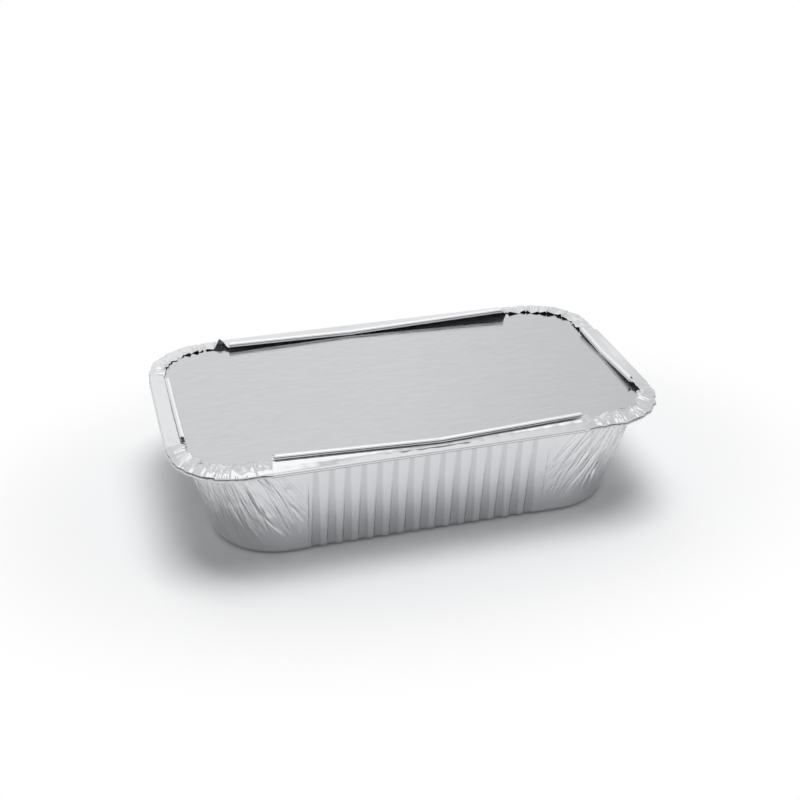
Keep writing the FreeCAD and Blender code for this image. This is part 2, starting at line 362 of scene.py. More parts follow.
def crease_start(sigma, drop):
    """Place under the ledge where the crease through each point of a corner begins.

    A crease that begins at s lies at s plus the drop below the ledge times its lean, which
    grows with the cube of s over the lean's span. So it leans further out towards the ends
    of the corner. Each row solves this for s.
    """
    starts = np.linspace(-60.0, 60.0, 481)
    lean = CREASE_LEAN * np.clip(starts / LEAN_SPAN, -1.2, 1.2) ** 3
    rows = [np.interp(sigma[0], starts + lean * level, starts) for level in drop[:, 0]]
    return np.array(rows)


def corner_creases(sigma, drop, height, spread, seed):
    """Creases that fan down and out from one gathered corner of the wall.

    A crease is a sharp fold with one steep and one easy side. Its place is given by the
    start of the line it follows, with a chance bend, and its height fades along it.
    """
    chance = np.random.default_rng(seed)
    start = crease_start(sigma, drop)
    total = np.zeros(start.shape)
    for _ in range(CREASE_COUNT):
        place = chance.uniform(*spread)
        begins = chance.choice(CREASE_BEGINS) * chance.uniform(0.5, 1.2)
        reach = chance.uniform(*CREASE_REACH) * (1.0 - 0.5 * abs(place) / CREASE_SPAN)
        bend = chance.normal(0.0, 0.05) * drop
        across = start - (place + bend + chance.normal(0.0, 0.0012) * drop ** 2)
        steep, easy = chance.uniform(*CREASE_STEEP), chance.uniform(*CREASE_EASY)
        if chance.random() < 0.5:
            steep, easy = easy, steep
        ridge = tent(across, np.where(across < 0, steep, easy)) ** 1.5
        along = (drop - begins) / reach
        fade = smooth(along * 5.0) * (1.0 - smooth(along))
        total += chance.uniform(0.3, 1.0) * chance.choice([1.0, -1.0]) * ridge * fade
    return total * height, start


def wall_surface(sizes):
    """Outer skin of the base and walls, from the middle of the base up to the ledge.

    A row has a height and a distance inward. Its ring is a rounded rectangle between the
    base line and the wall's top. The grooves and creases move its points along the outward
    direction.
    """
    pitch = sizes.flute_pitch / MM
    heel = sizes.heel_radius / MM
    top_length = RIM_LENGTH - FOIL - 2 * sizes.ledge_width / MM
    top_width = RIM_WIDTH - FOIL - 2 * sizes.ledge_width / MM
    base_length = top_length - 2 * sizes.end_taper / MM
    base_width = top_width - 2 * sizes.side_taper / MM

    height, inward, groove_share = wall_rows(heel)
    side, middle, sign, inside, flank, land, plain, turn = wall_columns(pitch)
    side = side.astype(int)
    share = height / LEDGE_HEIGHT
    length = blend(base_length, top_length, share) - 2 * inward
    width = blend(base_width, top_width, share) - 2 * inward
    radius = blend(sizes.base_radius / MM, sizes.wall_radius / MM, share) - inward
    depth = blend(sizes.flute_depth_top, sizes.flute_depth_bottom, (1 - share) ** 3)
    depth = depth / MM * groove_share
    half = blend(FLUTE_WIDTH_BOTTOM, FLUTE_WIDTH_TOP, share) / 2
    flank_width = FLUTE_FLANK[0] + FLUTE_FLANK[1] * depth
    land_width = pitch / 2 - half - flank_width
    fluted = middle + sign * (half * inside + flank_width * flank + land_width * land)
    straight = np.where(side % 2 == 0, length, width) / 2 - radius
    course = np.where(plain > 0, middle + (sign * straight - middle) * plain, fluted)
    groove = np.where((plain == 0) & (turn == 0), 1.0 - smooth(flank), 0.0)

    plan, normal = outline(length, width, radius, side, course, turn + 0 * height)
    drop = LEDGE_HEIGHT - height
    swell, crush, fold = np.zeros((3, *course.shape))
    distances = corner_distance(plan[-1])
    for corner, distance in enumerate(distances):
        near = np.abs(distance) < CREASE_FIELD
        rise, start = corner_creases(distance[near][None, :], drop, sizes.crease_depth / MM,
                                     CREASE_SPREAD[corner], CREASE_SEED + corner)
        swell[:, near] += rise
        fold[:, near] = start * MM
        crush[:, near] = smooth((WRINKLE_SPAN - np.abs(start)) / WRINKLE_FADE)
    crush *= 1 - WRINKLE_LOSS * smooth(drop / WRINKLE_DROP)
    swell += WALL_WAVE * soft_waves(distances[0], drop * 1.3, WALL_WAVE_LENGTHS, WALL_WAVE_SEED)
    fade = smooth(height / (3.0 * heel))
    offset = (swell * fade - depth * groove)[..., None]
    points = np.concatenate((plan + normal * offset, (height + 0 * course)[..., None]), axis=2)

    inner = points[:1] * (0.5, 0.5, 1.0)
    # The groove mask is painted shade in the flutes' grooves, where the walls are darkened.
    masks = {"crush": crush * fade, "fold": fold, "groove": groove * (groove_share > 0)}
    pad = np.zeros((1, points.shape[1]))
    masks = {name: np.vstack((pad, mask)) for name, mask in masks.items()}
    return np.concatenate((inner, points)), masks


# Folded rim

# Of each side: first and last end of the bead along it, where it is lowest, its rise at
# both ends, and how much wider than the front the flap is, in the middle and at the ends.
BEAD_ENDS = ((-63.6, 61.3), (-29.7, 23.9), (-65.4, 63.8), (-25.3, 28.8))
BEAD_LOW = (2.4, 0.0, 8.0, 0.0)
BEAD_RISE = ((2.3, 2.0), (1.3, 1.0), (2.15, 1.1), (0.9, 0.5))
FLAP_EXTRA = ((0.0, 0.7), (2.0, 2.0), (2.9, 3.3), (1.8, 1.8))
# How far the upper outer side of each bead stops short at its two ends.
BEAD_CUT = ((0.5, 0.15), (0.4, 0.5), (0.5, 0.2), (0.3, 0.9))
# How far the foil curls round in a bead, and the crease pressed along the curl: its place,
# its width and its depth. The crease is a real shallow dent, and a dark line of painted shade
# follows its place and width. The angles are in degrees.
BEAD_WRAP = 290.0
BEAD_CREASE = 166.0
BEAD_CREASE_WIDTH = 8.0
BEAD_CREASE_DEPTH = 0.12
# Share of the bead's radius that its shallow waves change, and their lengths.
BEAD_WAVE = 0.025
BEAD_WAVE_LENGTHS = (7, 11, 19)
# The slant cut of a bead's ends is deepest here on the curl.
BEAD_CUT_ANGLE = 140.0
# Of each flap: height of its shallow creases, height by which it turns up in front of its
# bead, and depth of the dimples that the flutes print through it.
FLAP_WAVE = (0.1, 0.12, 0.08, 0.24)
FLAP_LIFT = (0.35, 0.0, 0.2, 0.0)
FLAP_DIMPLE = (0.09, 0.0, 0.0, 0.0)
FLAP_WAVE_LENGTHS = (7.0, 11.0, 19.0)
FLAP_GAP = 0.05
# Of each corner: rise of the crushed strip's inner edge above the fold, and droop of the
# fold. The ledge starts to slope down to the fold at an inset.
CORNER_RISE = (0.6, -0.5, -0.8, 0.5)
FOLD_DROOP = (0.6, 0.0, 0.0, 1.2)
SLOPE_INSET = 4.0
LEDGE_OVERLAP = 1.5
# Notches torn in the crushed rim: corner, place along it, half width, depth and lift.
NOTCHES = ((2, -28.3, 3.3, 3.4, 3.0), (0, -29.0, 1.6, 2.4, 0.0), (1, 27.5, 1.2, 2.0, 0.0))
# A crushed corner's half length, the distance over which it starts, the spacing of its folds
# and fine pleats, and the number, spread and half width of its small dents.
CRUSH_SPAN = 34.0
CRUSH_START = 1.6
FOLD_SPACING = 2.6
PLEAT_SPACING = 0.7
DENTS = 12
DENT_SPREAD = 26.0
DENT_HALF = 0.8
# Its knife folds: their number and the widths of their two sides.
KNIFE_FOLDS = 20
KNIFE_WIDE = (1.8, 5.6)
KNIFE_NARROW = (0.5, 1.3)
# How far its fold is pushed in, the heights of the fine pleats over the strip and along the
# fold, and the height and lengths of the facets.
CRUSH_PUSH = 1.1
PLEAT_HEIGHT = 0.24
PLEAT_ON_FOLD = 0.12
FACET_HEIGHT = 0.1
FACET_LENGTHS = (3.1, 4.7)
# Lines along the fold: place round it and width, in degrees, where it is tucked in and
# where it has painted shade. On two straight sides a line of painted shade has its own place
# and strength.
TUCK_LINE = (12.0, 24.0)
SIDE_TUCK = (0.0, 0.0, 0.0, 0.5)
PAINTED_SHADE_LINE = (9.0, 16.0)
CORNER_PAINTED_SHADE = 1.3
EDGE_PAINTED_SHADE = {0: (-34.0, 0.55), 3: (9.0, 0.4)}
EDGE_PAINTED_SHADE_WIDTH = 14.0
# Steps of the grid: along the sides before and after a bead and beside it, round a corner,
# round the fold and over the flap, and along and round a bead.
END_STEPS = (24, 12)
FLAP_STEPS = (120, 46)
RIM_CORNER_STEPS = 190
FOLD_ROWS = 11
FLAP_ROWS = 17
BEAD_STEPS = (160, 70)
BEAD_ROWS = 60
# Stands for a place that is nowhere near.
FAR = 999.0


def rim_columns(straights):
    """Columns round the rim, as arrays: side, course and turn, closer in the corners."""
    columns = []
    for side in range(4):
        straight = straights[side % 2]
        first, last = BEAD_ENDS[side]
        before = np.linspace(-straight, first, END_STEPS[side % 2])
        middle = np.linspace(first, last, FLAP_STEPS[side % 2])
        after = np.linspace(last, straight, END_STEPS[side % 2])
        for course in np.concatenate((before, middle[1:], after[1:])):
            columns.append((side, course, 0.0))
        for turn in np.linspace(0.0, math.pi / 2, RIM_CORNER_STEPS)[1:-1]:
            columns.append((side, 0.0, turn))
    return np.array(columns).T


def rim_rows(ledge, nose):
    """Rows of the rim: out along the ledge, half a circle round the fold, over the flap.

    A row has its distance in from the fold, its height above the ledge, its share of the
    way over the flap, how far it is up the fold, how far out, and its angle in degrees.
    """
    rows = [(inset, 0.0, 0.0, 0.0, 0.0, -FAR) for inset in (ledge, SLOPE_INSET, 3.0, 2.0)]
    for angle in np.linspace(-90, 90, FOLD_ROWS):
        out, up = np.cos(np.radians(angle)), np.sin(np.radians(angle))
        rows.append((nose * (1 - out), nose * (1 + up), 0.0, (1 + up) / 2, out, angle))
    for share in np.linspace(0.0, 1.0, FLAP_ROWS)[1:]:
        rows.append((0.0, 0.0, share, 1.0, 0.0, FAR))
    return np.array(rows).T[..., None]


def fold_lines(chance, low, high, spacing):
    """Uneven places of folds between two ends."""
    gaps = chance.uniform(0.5, 1.5, int((high - low) / spacing))
    places = low + (high - low) * np.cumsum(gaps) / gaps.sum()
    return np.concatenate(([low], places))


def knife_folds(sigma, share, chance):
    """Height in each row of a strip crushed into knife folds that run across it.

    A fold is a wide and a narrow facet in chance order. The lines between facets shift by a
    chance slant from the outer to the inner edge, where the folds are highest.
    """
    wide = chance.uniform(*KNIFE_WIDE, KNIFE_FOLDS)
    narrow = chance.uniform(*KNIFE_NARROW, KNIFE_FOLDS)
    valleys = np.concatenate(([0.0], np.cumsum(wide + narrow)))
    peaks = valleys[:-1] + np.where(chance.random(KNIFE_FOLDS) < 0.5, wide, narrow)
    lines = np.sort(np.concatenate((valleys, peaks))) - (CRUSH_SPAN + 2.0)
    inner = np.sort(lines + chance.normal(0.0, 0.5, len(lines)))
    high = np.arange(len(lines)) % 2 == 1
    rises = []
    for _ in range(2):
        up, down = chance.uniform(0.1, 1.1, len(lines)), chance.uniform(0.0, 0.7, len(lines))
        rises.append(np.where(high, up, -down))
    rows = [np.interp(sigma, blend(lines, inner, s), blend(0.35 * rises[0], rises[1], s))
            for s in share[:, 0]]
    return np.array(rows)


def pleats(sigma, share, seed):
    """Fine zigzag across a strip, between 0 and 1, in groups with plain places between."""
    chance = np.random.default_rng(seed)
    outer = fold_lines(chance, -CRUSH_SPAN, CRUSH_SPAN, PLEAT_SPACING)
    inner = outer + chance.normal(0.0, 0.25 * PLEAT_SPACING, len(outer))
    height = (np.arange(len(outer)) % 2) * chance.uniform(0.4, 1.0, len(outer))
    groups = np.linspace(-CRUSH_SPAN, CRUSH_SPAN, 18)
    height *= np.interp(outer, groups, chance.choice([0.1, 1.0], 18))
    rows = [np.interp(sigma, np.sort(blend(outer, inner, s)), height) for s in share[:, 0]]
    return np.array(rows)


def crushed_corners(ring, share, top, strip):
    """Folds of the four crushed corners round the rim.

    By rows and columns they are the coarse folds, the fine pleats and the flat facets. By
    columns they are the push inward, the dents and the crevices of the fold, whose strength
    also sets the painted shade along them, and the width and the height of the strip's torn
    inner edge.
    """
    coarse, fine, facets = np.zeros((3, len(share), len(ring)))
    push, dent, crevice = np.zeros((3, len(ring)))
    width, edge = np.full(len(ring), strip), np.full(len(ring), top + CORNER_RISE[0])
    for number, distance in enumerate(corner_distance(ring)):
        near = np.abs(distance) < CRUSH_SPAN
        local = distance[near]
        chance = np.random.default_rng(CRUSH_SEED + number)
        coarse[:, near] = knife_folds(local, share, chance)
        fine[:, near] = pleats(local, share, PLEAT_SEED + number)
        facets[:, near] = folded(
            local[None, :], share * 8.0, FACET_LENGTHS, FACET_SEED + number)
        lines = fold_lines(chance, -CRUSH_SPAN, CRUSH_SPAN, FOLD_SPACING)
        push[near] = np.interp(local, lines, chance.uniform(0.0, 1.0, len(lines)))
        crevice[near] = np.interp(local, lines, chance.uniform(0.65, 1.1, len(lines)))
        width[near] += np.interp(local, lines, chance.uniform(-1.0, 0.7, len(lines)))
        for place in chance.uniform(-DENT_SPREAD, DENT_SPREAD, DENTS):
            dent[near] += tent(local - place, DENT_HALF)
        edge[near] = top + CORNER_RISE[number]
        for _, place, half, deep, lift in (notch for notch in NOTCHES if notch[0] == number):
            width[near] -= deep * tent(local - place, half)
            edge[near] += lift * tent(local - place, half)
    return coarse, fine, facets, push, np.clip(dent, 0, 1), crevice, width, edge


def bead_edge(rim, side, course):
    """Inset and height of the flap's inner edge, which carries the bead.

    The flap lies on the lid at its lowest place and rises straight from there to both ends.
    """
    low = BEAD_LOW[side]
    span = np.where(course < low, BEAD_ENDS[side][0] - low, BEAD_ENDS[side][1] - low)
    share = np.clip((course - low) / span, 0.0, 1.0)
    rise = np.where(course < low, *BEAD_RISE[side]) * share
    inset = rim.flap_width / MM + blend(*FLAP_EXTRA[side], share)
    return inset, LID_TOP + FLAP_GAP + FOIL + rise


def flap_height(side, course, share, edge, fold_top, near_bead, pitch):
    """Height of the straight flaps, from the fold's top to the edge that carries the bead.

    Where the edge is lower than the fold, the flap sags to it early. Where it is higher,
    the flap is a straight ramp. Dimples, shallow creases and a turned-up edge are added.
    """
    sag = np.interp(share, (0.0, 0.35, 0.7, 1.0), (0.0, 0.8, 1.0, 1.0))
    height = fold_top + np.minimum(edge - fold_top, 0.0) * sag
    height = height + np.maximum(edge - fold_top, 0.0) * share
    middle = np.sin(share * math.pi)
    ridge = 0.5 + 0.5 * np.cos(course * math.tau / pitch)
    height = height - np.choose(side, FLAP_DIMPLE) * ridge ** 4 * middle
    wave = folded(course, share * 7.4, FLAP_WAVE_LENGTHS, FLAP_SEED)
    height = height + np.choose(side, FLAP_WAVE) * wave * middle
    lift = smooth((3.0 - near_bead) / 2.0) * smooth(near_bead / 0.8) * (share > 0)
    return height + np.choose(side, FLAP_LIFT) * lift


def band(angle, place, width):
    """Soft line round the fold, 1 at its place and fading over its width."""
    return np.exp(-((angle - place) / width) ** 2)


def rim_surface(tray, rim):
    """Outer skin of the ledge, the round fold and the flap, and the crushed corners.

    Each row has a distance in from the fold and a height. Between the beads' ends the flap
    goes over to the lid. The corners rise inward, folded across in coarse facets and fine
    pleats, and their fold is pushed in and out.
    """
    radius = tray.corner_radius / MM
    nose = rim.fold_height / MM / 2
    straights = (RIM_LENGTH / 2 - radius, RIM_WIDTH / 2 - radius)
    side, course, turn = rim_columns(straights)
    side = side.astype(int)
    ring, _ = outline(RIM_LENGTH, RIM_WIDTH, radius, side, course, turn)
    inset, height, share, hold, front, angle = rim_rows(
        tray.ledge_width / MM + LEDGE_OVERLAP, nose)

    first, last = np.array(BEAD_ENDS)[side].T
    beyond = np.where(turn > 0, FAR, np.maximum(first - course, course - last))
    corner = smooth(beyond / CRUSH_START)
    width, edge, droop = np.zeros((3, len(side)))
    for number in range(4):
        here = (side == number) & (turn == 0)
        width[here], edge[here] = bead_edge(rim, number, course[here])
        way = np.where(turn > 0, 1.0, 0.5 + course / straights[number % 2] / 2)
        ends = FOLD_DROOP[number - 1], FOLD_DROOP[number]
        droop[side == number] = blend(*ends, way)[side == number]

    top = LEDGE_HEIGHT + 2 * nose
    fold_top = top - droop
    coarse, fine, facets, push, dent, crevice, strip, torn = crushed_corners(
        ring, share, top, rim.crush_width / MM)
    width = blend(width, strip, corner)
    push = corner * (push * CRUSH_PUSH + dent * 0.5 * front)
    tuck = np.maximum(corner * crevice, np.choose(side, SIDE_TUCK))
    push = push + tuck * band(angle, *TUCK_LINE)

    over = np.where(share > 0, nose + (width - nose) * share, inset)
    depth = over + push * smooth(hold + 0.5)
    rest = blend(fold_top, LID_TOP + FLAP_GAP + FOIL, np.clip((depth - nose) / 1.4, 0.0, 1.0))
    lying = flap_height(
        side, course, share, edge, fold_top, width - depth, tray.flute_pitch / MM)
    comb = fine * smooth(share * 6) * (1.0 - 0.8 * smooth(share * 4 - 3))
    rough = coarse * (0.4 + 0.6 * share) + FACET_HEIGHT * facets * np.sin(share * math.pi)
    rough = (rough + PLEAT_HEIGHT * comb) * rim.crush_height / MM
    crushed = blend(fold_top, torn, share ** 0.8) + rough
    lying = np.maximum(blend(lying, crushed, corner), rest)
    squash = corner * (0.35 * coarse[0] - 0.15 - 0.3 * dent)
    fall = np.clip((SLOPE_INSET - inset) / (SLOPE_INSET - nose), 0.0, 1.0)
    fold_z = LEDGE_HEIGHT + height * (1.0 + squash / (2 * nose)) - droop * fall
    fold_z = fold_z + PLEAT_ON_FOLD * fine * hold * corner
    z = np.where(share > 0, lying + squash * (1 - smooth(share * 3)), fold_z)

    plan, _ = outline(
        RIM_LENGTH - 2 * depth, RIM_WIDTH - 2 * depth, radius - depth,
        side, course + 0 * depth, turn + 0 * depth)
    points = np.concatenate((plan, z[..., None]), axis=2)
    # Painted shade: dark lines along the crushed fold's crevices, and under the fold on the front
    # and left sides, kept as the groove mask.
    line = CORNER_PAINTED_SHADE * corner * crevice * band(angle, *PAINTED_SHADE_LINE)
    for number, (place, deep) in EDGE_PAINTED_SHADE.items():
        here = (1 - corner) * (side == number)
        line = line + deep * here * band(angle, place, EDGE_PAINTED_SHADE_WIDTH)
    return points, {"crush": corner * smooth(hold * 2), "groove": np.clip(line, 0.0, 1.0)}


def bead_surface(rim, side):
    """Curled edge of one flap, an open-ended tube that starts at the flap's inner edge.

    Its section is an arc that goes on from the flap's upper face, inward, up and back, with
    a narrow crease in its outer side. The foil's thickness lies outside the arc. It is
    carried along the flap's edge, which rises from its lowest place to both ends. The ends
    are cut on a slant: the upper outer side of the tube stops short.
    """
    radius = rim.bead_diameter / MM / 2 - FOIL
    turns = np.radians(np.linspace(-90.0, BEAD_WRAP - 90.0, BEAD_ROWS))[:, None]
    crease = band(np.degrees(turns), BEAD_CREASE, BEAD_CREASE_WIDTH)
    short = 1.0 + np.cos(turns - math.radians(BEAD_CUT_ANGLE))
    (first, last), (early, late) = BEAD_ENDS[side], BEAD_CUT[side]
    course = blend(first + early * short, last - late * short,
                   np.linspace(0, 1, BEAD_STEPS[side % 2])[None, :])
    inner, edge = bead_edge(rim, side, course)
    waves = soft_waves(course, 0 * turns, BEAD_WAVE_LENGTHS, BEAD_SEED + side)
    size = radius * (1.0 + BEAD_WAVE * waves) - BEAD_CREASE_DEPTH * crease
    height = edge + radius + size * np.sin(turns)
    reach = (RIM_WIDTH, RIM_LENGTH)[side % 2] / 2 - (inner + size * np.cos(turns))
    plan = reach[..., None] * OUTWARD[side] + course[..., None] * ALONG[side]
    # The crease's dent is real; its dark line here is painted shade, kept as the groove mask.
    mask = np.clip(1.5 * crease ** 0.7, 0.0, 1.0) + 0 * course
    return np.concatenate((plan, height[..., None]), axis=2), {"groove": mask}


# Nodes

def feed(tree, node, inputs):
    """Sets a node's inputs to values, or links them to other nodes' sockets."""
    for key, value in inputs.items():
        if isinstance(value, bpy.types.NodeSocket):
            tree.links.new(value, node.inputs[key])
        else:
            node.inputs[key].default_value = value


def add_node(tree, kind, inputs=None, **settings):
    """New shader node with its settings and its inputs."""
    node = tree.nodes.new("ShaderNode" + kind)
    for key, value in settings.items():
        setattr(node, key, value)
    feed(tree, node, inputs or {})
    return node


def add_math(tree, operation, first, second=0.0):
    return add_node(tree, "Math", {0: first, 1: second}, operation=operation).outputs[0]


def largest(tree, first, *others):
    for other in others:
        first = add_math(tree, "MAXIMUM", first, other)
    return first


def vector_math(tree, operation, first, second, output="Vector"):
    node = add_node(tree, "VectorMath", {0: first, 1: second}, operation=operation)
    return node.outputs[output]


def object_place(tree):
    return add_node(tree, "TexCoord").outputs["Object"]


def attribute(tree, name):
    return add_node(tree, "Attribute", attribute_name=name).outputs["Fac"]


def ramp(tree, value, start, end, low=0.0, high=1.0, easing="SMOOTHSTEP"):
    """Value mapped from between start and end to between low and high."""
    node = add_node(
        tree, "MapRange",
        {"Value": value, "From Min": start, "From Max": end, "To Min": low, "To Max": high},
        interpolation_type=easing)
    return node.outputs[0]


def add_noise(tree, place, scale, detail, waver):
    node = add_node(
        tree, "TexNoise",
        {"Vector": place, "Scale": scale, "Detail": detail, "Distortion": waver})
    return node.outputs["Fac"]


def crest(tree, noise):
    """Distance of a noise from its middle, which is a sharp line where the two meet."""
    return add_math(tree, "ABSOLUTE", add_math(tree, "SUBTRACT", noise, 0.5))


def add_bump(tree, height, distance, strength, before=None):
    inputs = {"Height": height, "Distance": distance, "Strength": strength}
    if before:
        inputs["Normal"] = before
    return add_node(tree, "Bump", inputs).outputs[0]


def mix_colour(tree, mask, low, high):
    node = add_node(tree, "Mix", {"A": low, "B": high, "Factor": mask}, data_type="RGBA")
    return node.outputs["Result"]


def shaded(colour, share):
    """Colour times a share."""
    return tuple(part * share for part in colour[:3]) + (1.0,)


# Shared effects

def new_group(name, inputs, output):
    """Empty shader node group: the group, its inputs by name and the node of its output."""
    group = bpy.data.node_groups.new(name, "ShaderNodeTree")
    for label, default in inputs.items():
        socket = group.interface.new_socket(label, in_out="INPUT", socket_type="NodeSocketFloat")
        socket.default_value = default
    group.interface.new_socket(output, in_out="OUTPUT", socket_type="NodeSocketFloat")
    given = group.nodes.new("NodeGroupInput").outputs
    return group, given, group.nodes.new("NodeGroupOutput")


def rolled_grain_group(name):
    """Grain of rolled metal: noise on Object coordinates, drawn out along X."""
    group, given, out = new_group(name, {"Fineness": 900.0, "Drawing": 12.0, "Waver": 0.0}, "Grain")
    along = add_math(group, "DIVIDE", given["Fineness"], given["Drawing"])
    stretch = add_node(group, "CombineXYZ", {0: along, 1: given["Fineness"], 2: given["Fineness"]})
    place = vector_math(group, "MULTIPLY", object_place(group), stretch.outputs[0])
    feed(group, out, {0: add_noise(group, place, 1.0, 3.0, given["Waver"])})
    return group


def crinkle_group(name):
    """Fine crinkles of handled foil: ridged noise times a mask, on Object coordinates."""
    group, given, out = new_group(name, {"Scale": 300.0, "Mask": 1.0}, "Height")
    noise = add_noise(group, object_place(group), given["Scale"], 2.0, 0.6)
    feed(group, out, {0: add_math(group, "MULTIPLY", crest(group, noise), given["Mask"])})
    return group


def drawn_wrinkle_group(name):
    """Fine wrinkles along the drawn creases: noise in the crease coordinate and in Z.

    The noise runs fast across the creases and slowly along them. Its folded middle makes
    sharp lines, and the mask fades them out.
    """
    group, given, out = new_group(name, {"Across": 700.0, "Along": 40.0, "Mask": 1.0}, "Height")
    parts = add_node(group, "SeparateXYZ", {0: object_place(group)}).outputs
    place = add_node(group, "CombineXYZ", {
        0: add_math(group, "MULTIPLY", attribute(group, "fold"), given["Across"]),
        1: add_math(group, "MULTIPLY", parts[2], given["Along"]),
        2: add_math(group, "MULTIPLY", parts[0], 20.0)})
    noise = add_noise(group, place.outputs[0], 1.0, 2.0, 0.3)
    sharp = add_math(group, "POWER", crest(group, noise), 0.6)
    feed(group, out, {0: add_math(group, "MULTIPLY", sharp, given["Mask"])})
    return group


def place_group(tree, name, **inputs):
    """Output of the shared node group of that name, made when it is first wanted."""
    makers = {
        "Rolled grain": rolled_grain_group,
        "Crinkle": crinkle_group,
        "Drawn wrinkles": drawn_wrinkle_group,
    }
    group = bpy.data.node_groups.get(name) or makers[name](name)
    return add_node(tree, "Group", inputs, node_tree=group).outputs[0]


# Materials

# Wrinkles of the foil that is folded and crushed by hand.
HANDLED = {"depth": 0.1, "effect": "Crinkle", "Scale": 110.0}


def new_metal(name, colour):
    """Material with a plain metallic surface shader; gives the material, tree and shader."""
    material = bpy.data.materials.new(name)
    material.use_nodes = True
    tree = material.node_tree
    shader = tree.nodes["Principled BSDF"]
    feed(tree, shader, {"Base Color": colour, "Metallic": 1.0})
    return material, tree, shader


def foil_material(name, colour, shade, gloss, depth, effect, **settings):
    """Bright rolled foil: fine grain, darker in the grooves, wrinkled where it is gathered.

    The colour has a painted shade where the groove attribute is set, and gloss is the lowest
    and highest roughness. The wrinkles are a shared effect with its settings, of a given depth.
    """
    material, tree, shader = new_metal(name, colour)
    grain = place_group(tree, "Rolled grain", Fineness=1400.0, Drawing=10.0)
    wrinkles = place_group(tree, effect, Mask=attribute(tree, "crush"), **settings)
    fine = add_bump(tree, grain, 0.00003, 0.5)
    feed(tree, shader, {
        # Painted shade: the groove attribute darkens the colour here.
        "Base Color": mix_colour(tree, attribute(tree, "groove"), colour, shaded(colour, shade)),
        "Roughness": ramp(tree, grain, 0.0, 1.0, *gloss, easing="LINEAR"),
        "Normal": add_bump(tree, wrinkles, 0.001, depth, fine)})
    return material


def inside_material(colour):
    """Matt inner face of rolled foil, which spreads the light that falls under the flaps."""
    material, tree, shader = new_metal("Matt foil", colour)
    feed(tree, shader, {"Metallic": 0.7, "Roughness": 0.45})
    return material


def lid_material(colour):
    """Satin metal face of the board: faint streaks that waver along its length."""
    material, tree, shader = new_metal("Laminated board", colour)
    streaks = place_group(tree, "Rolled grain", Fineness=420.0, Drawing=4.0, Waver=1.2)
    fine = place_group(tree, "Rolled grain", Fineness=2200.0, Drawing=2.0)
    coarse_bump = add_bump(tree, streaks, 0.0004, 0.18)
    feed(tree, shader, {
        "Base Color": mix_colour(tree, streaks, shaded(colour, 0.91), shaded(colour, 1.07)),
        "Roughness": ramp(tree, fine, 0.0, 1.0, 0.09, 0.15, "LINEAR"),
        "Normal": add_bump(tree, fine, 0.00002, 0.12, coarse_bump)})
    return material


# Stage

WHITE = (1.0, 1.0, 1.0, 1.0)
BLACK = (0.0, 0.0, 0.0, 1.0)
# The camera, from the fit to the photograph: width and focal length in pixels, place in
# millimetres, angles in degrees and width of the sensor in millimetres.
PHOTO_SIZE = 800
PHOTO_FOCUS = 1320.0
CAMERA_PLACE = (-128.5, -481.8, 296.8)
CAMERA_PITCH = 27.57
CAMERA_YAW = 15.06
CAMERA_ROLL = -0.52
SENSOR = 36.0
# Lamps: name, place in metres, width and power.
LAMPS = (("key", (0.08, 0.05, 1.5), 0.9, 16.0), ("back", (-0.1, 0.95, 1.35), 0.75, 2.2))
# Strength of the world as a light. For the camera and in reflections it is 1.
WORLD_LIGHT = 0.243
# In reflections, the low dark band on the camera's side: how dark it is, and the heights and
# the angles from the camera, in degrees, between which it fades out.
BAND_DARK = 0.97
BAND_HEIGHT = (10.0, 20.0)
BAND_REACH = (38.0, 60.0)
# The dimmer ceiling, right side and two far sides, with reaches as shares of 1.
CEILING_DARK = 0.56
CEILING_REACH = (0.80, 0.9)
RIGHT_DARK = 0.24
RIGHT_REACH = (0.0, 0.3)
SIDES_DARK = 0.2
SIDES_REACH = (0.2, 0.45)
# The softbox: its light, and its height over the backdrop and its reach in degrees.
SOFTBOX_LIGHT = 0.8
SOFTBOX_HEIGHT = 88.0
SOFTBOX_REACH = (14.0, 31.0)
# Half the table's width in millimetres, the distances in metres between which it turns
# white, and the share that counts of X there.
TABLE_REACH = 6000.0
TABLE_FADE = (0.078, 0.152)
TABLE_STRETCH = 0.72


def seen_rays(tree, *kinds):
    """1 for rays of the given kinds, else 0."""
    path = add_node(tree, "LightPath").outputs
    return largest(tree, *(path["Is " + kind + " Ray"] for kind in kinds))


